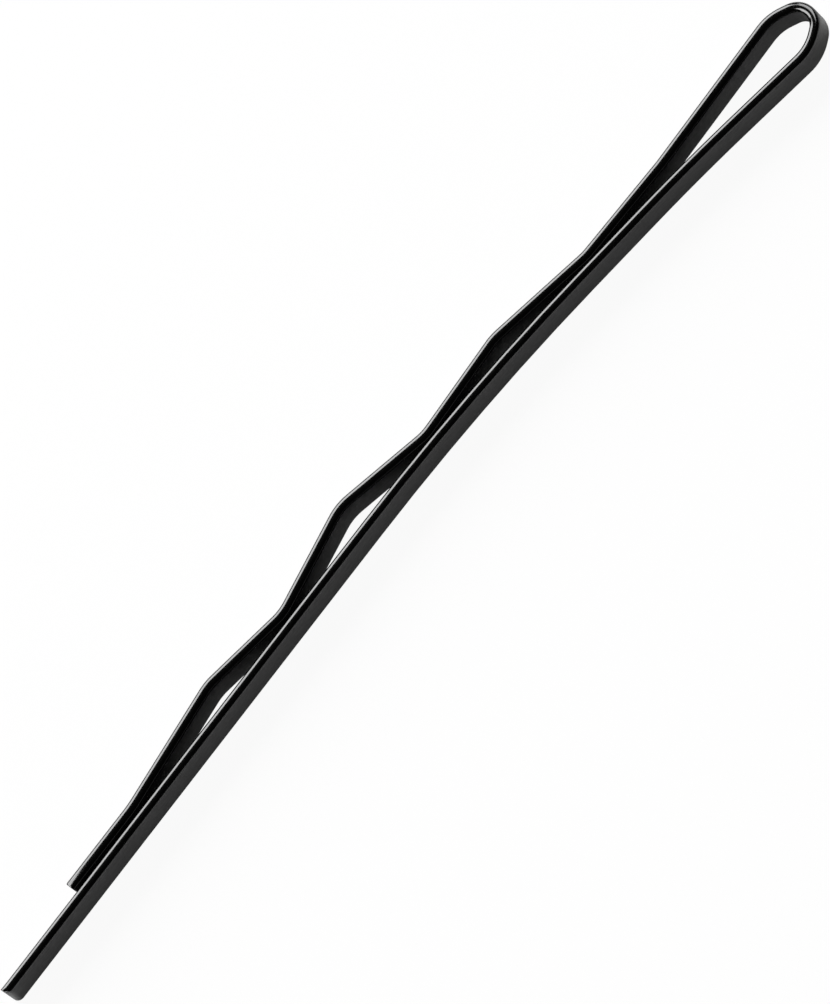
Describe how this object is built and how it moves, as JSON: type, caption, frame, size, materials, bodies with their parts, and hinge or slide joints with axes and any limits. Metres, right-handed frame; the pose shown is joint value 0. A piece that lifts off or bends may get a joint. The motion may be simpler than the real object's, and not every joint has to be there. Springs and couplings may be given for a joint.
{
  "type": "bobby pin",
  "caption": "Hair grip of flat spring-steel strip under black enamel, bent double into a narrow bow, with a smooth leg and a shorter crimped leg that springs open against it.",
  "frame": {"origin": "on the surface the pin lies on, under the middle of its length and of its breadth", "axes": "+X from the tips towards the bow, +Y from the straight leg towards the crimped leg, +Z across the width of the strip, which stands on its long edge"},
  "size_m": [0.0508, 0.003, 0.0017],
  "materials": {
    "spring_steel": "satin",
    "black_enamel": "gloss"
  },
  "bodies": {
    "straight_leg": {"straight_leg_core": "spring_steel", "straight_leg_enamel": "black_enamel"},
    "bow": {"bow_core": "spring_steel", "bow_enamel": "black_enamel"},
    "crimped_leg": {"crimped_leg_core": "spring_steel", "crimped_leg_enamel": "black_enamel"}
  },
  "joints": [
    {"name": "neck_flex", "type": "hinge", "parent": "straight_leg", "child": "bow", "pos_m": [0.01319, -0.00054, 0.00085], "axis": [0, 0, -1], "range_deg": [0, 12], "stiffness_Nm_per_rad": 0.11},
    {"name": "flank_flex", "type": "hinge", "parent": "bow", "child": "crimped_leg", "pos_m": [0.0132, 0.00049, 0.00085], "axis": [0, 0, -1], "range_deg": [0, 12], "stiffness_Nm_per_rad": 0.11}
  ],
  "couplings": [
    {"joint": "flank_flex", "follows": "neck_flex", "ratio": 1}
  ]
}
